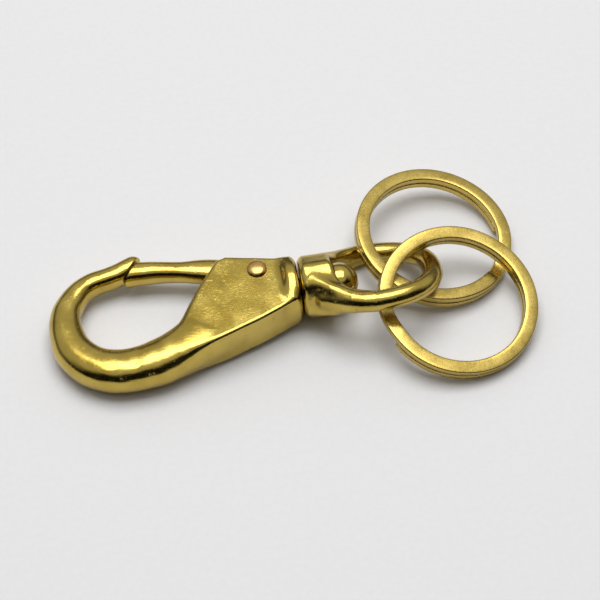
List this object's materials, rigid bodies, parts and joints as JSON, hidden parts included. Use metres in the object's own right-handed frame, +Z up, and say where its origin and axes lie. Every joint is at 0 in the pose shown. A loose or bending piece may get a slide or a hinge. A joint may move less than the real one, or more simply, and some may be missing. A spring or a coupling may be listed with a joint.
{
  "type": "snap hook key ring",
  "caption": "Swivel snap hook of cast brass with a sprung gate, carrying split key rings of flat wire on its eye.",
  "frame": {"origin": "on the surface the object lies on, under the centre of its bounding box", "axes": "+X along the swivel axis seen from above, from the hook to the eye; +Y to the side the gate is on; +Z up"},
  "size_m": [0.09, 0.0464, 0.0129],
  "materials": {
    "cast_brass": "polished casting with fine pits",
    "turned_brass": "polished, turned",
    "ring_brass": "satin flats with bright edges",
    "rivet_copper": "polished copper-coloured head",
    "spring_steel": "drawn wire"
  },
  "bodies": {
    "hook": {"hook_body": "cast_brass", "gate_rivet": "rivet_copper", "gate_spring": "spring_steel", "swivel_stud": "turned_brass"},
    "gate": {"gate": "cast_brass"},
    "eye": {"swivel_eye": "cast_brass"},
    "ring_a": {"split_ring_a": "ring_brass"},
    "ring_b": {"split_ring_b": "ring_brass"}
  },
  "joints": [
    {"name": "gate_hinge", "type": "hinge", "parent": "hook", "child": "gate", "pos_m": [-0.00561, 0.00188, 0.00535], "axis": [-0.0523, 0, 0.9986], "range_deg": [0, 30], "stiffness_Nm_per_rad": 0.08, "springref_deg": -34.38, "deforming": ["gate_spring"]},
    {"name": "swivel", "type": "hinge", "parent": "hook", "child": "eye", "pos_m": [0.00138, -0.00102, 0.00572], "axis": [0.9986, 0, 0.0523], "continuous": true},
    {"name": "ring_a_spin", "type": "hinge", "parent": "eye", "child": "ring_a", "pos_m": [0.02868, 0.00818, 0.00423], "axis": [0.1669, -0.0814, 0.9826], "continuous": true},
    {"name": "ring_b_spin", "type": "hinge", "parent": "eye", "child": "ring_b", "pos_m": [0.02998, -0.00832, 0.00535], "axis": [0.1466, -0.2174, 0.965], "continuous": true}
  ]
}
